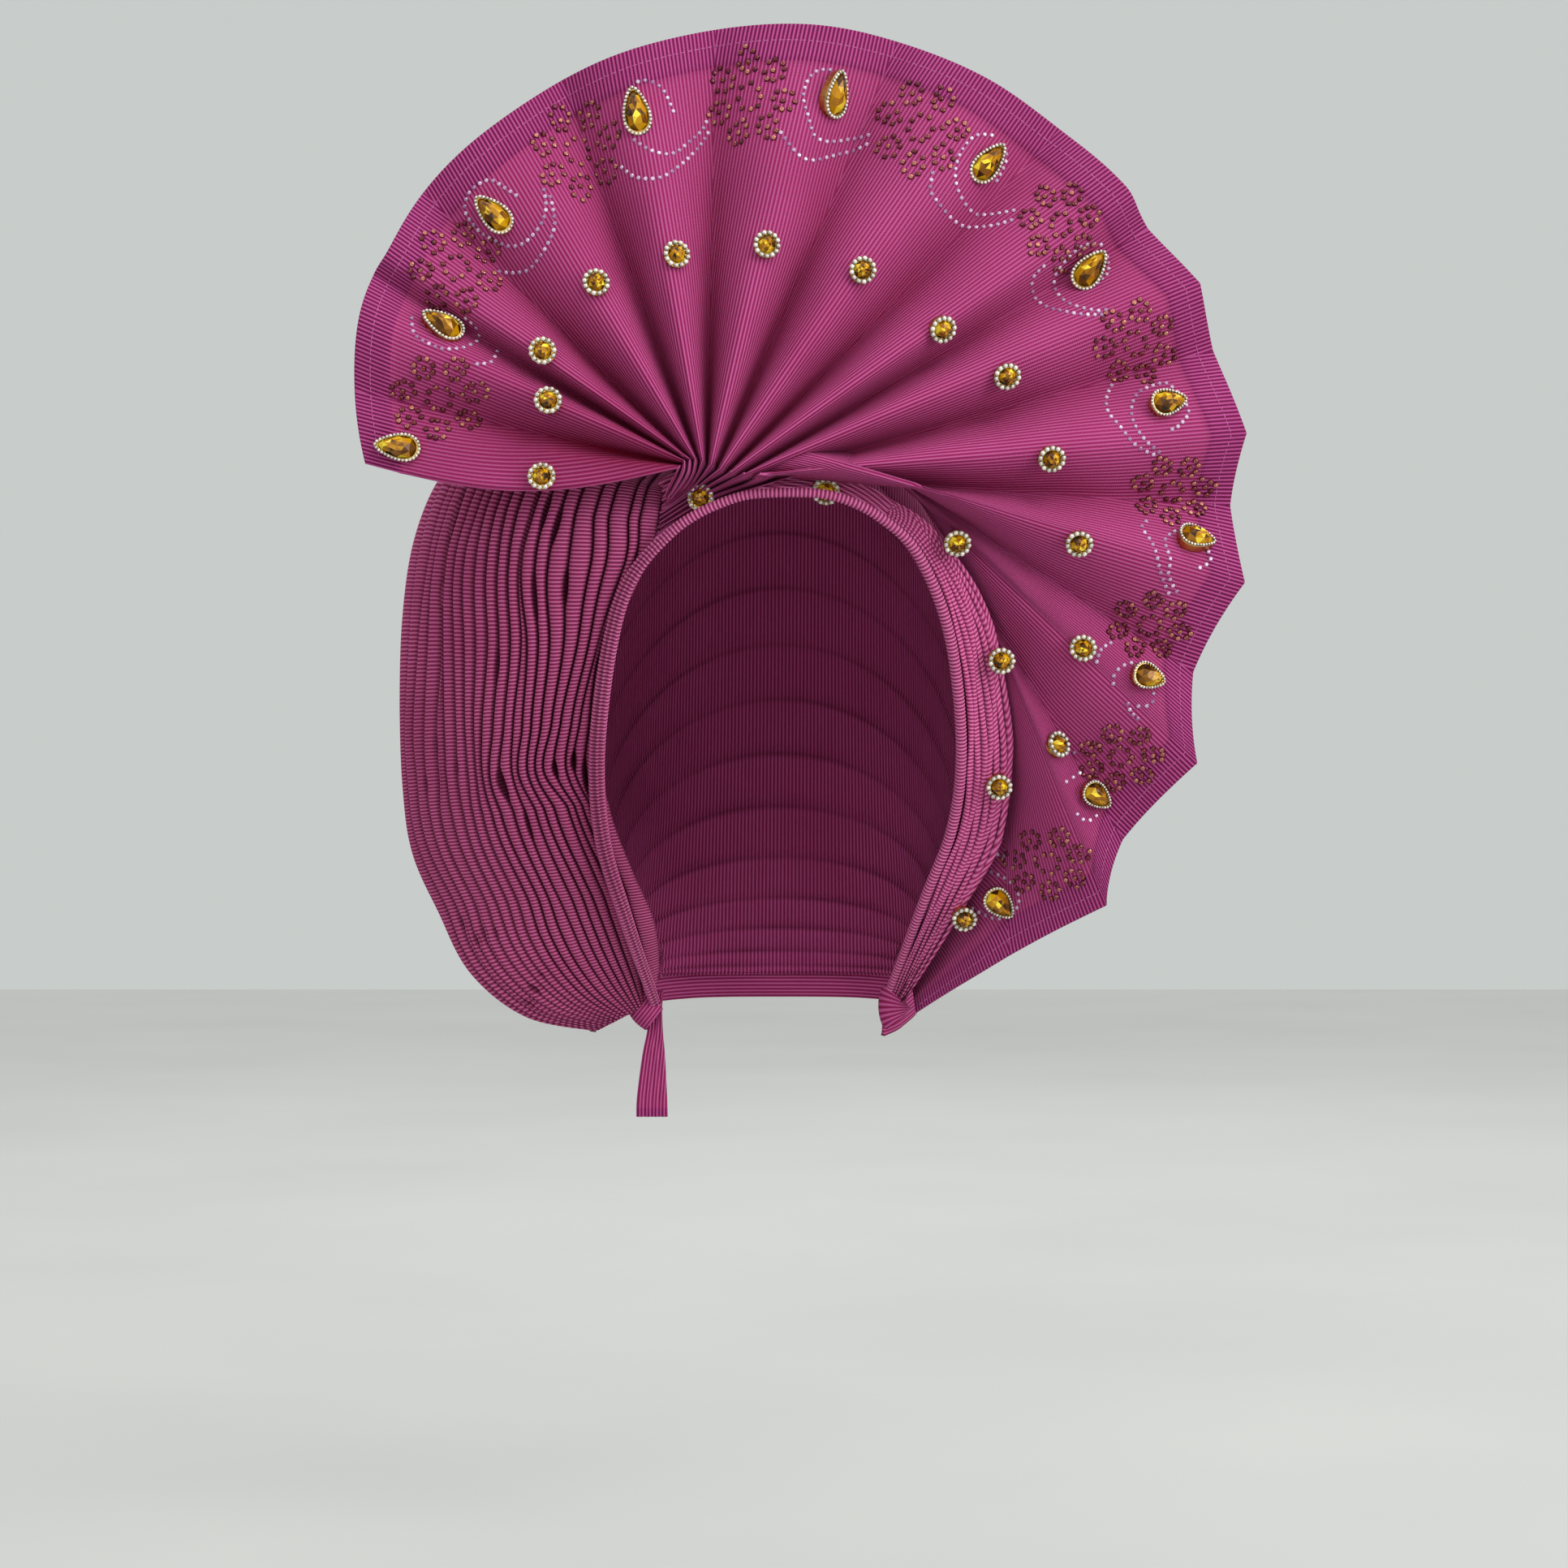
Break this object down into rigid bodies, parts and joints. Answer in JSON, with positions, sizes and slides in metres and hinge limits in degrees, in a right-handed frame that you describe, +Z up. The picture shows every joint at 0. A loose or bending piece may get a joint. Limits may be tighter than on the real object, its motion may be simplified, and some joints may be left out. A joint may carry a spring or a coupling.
{
  "type": "tied head tie",
  "caption": "Tied gele head tie of ribbed magenta cloth: a wide pleated fan, a side bun of narrow pleats and a rolled face edge, set with amber teardrop and round stones.",
  "frame": {"origin": "inside top of the crown on the head's middle line, where the head seats", "axes": "+X to the picture's right, +Y to the back of the head, +Z up"},
  "size_m": [0.323, 0.1956, 0.407],
  "materials": {
    "cloth": "ribbed, soft sheen",
    "stone": "cut, glossy, in a silver bead setting"
  },
  "bodies": {
    "root": {"crown_front_left": "cloth", "crown_front_right": "cloth", "crown_back_left": "cloth", "crown_back_right": "cloth", "face_roll": "cloth", "brow_pleats": "cloth", "fan": "cloth", "side_wrap": "cloth", "nape_strap": "cloth", "tie_tail": "cloth", "teardrop_stone_01": "stone", "teardrop_stone_02": "stone", "teardrop_stone_03": "stone", "teardrop_stone_04": "stone", "teardrop_stone_05": "stone", "teardrop_stone_06": "stone", "teardrop_stone_07": "stone", "teardrop_stone_08": "stone", "teardrop_stone_09": "stone", "teardrop_stone_10": "stone", "teardrop_stone_11": "stone", "teardrop_stone_12": "stone", "round_stone_01": "stone", "round_stone_02": "stone", "round_stone_03": "stone", "round_stone_04": "stone", "round_stone_05": "stone", "round_stone_06": "stone", "round_stone_07": "stone", "round_stone_08": "stone", "round_stone_09": "stone", "round_stone_10": "stone", "round_stone_11": "stone", "round_stone_12": "stone", "round_stone_13": "stone", "round_stone_14": "stone", "round_stone_15": "stone", "round_stone_16": "stone", "round_stone_17": "stone", "round_stone_18": "stone", "round_stone_19": "stone"}
  },
  "joints": []
}
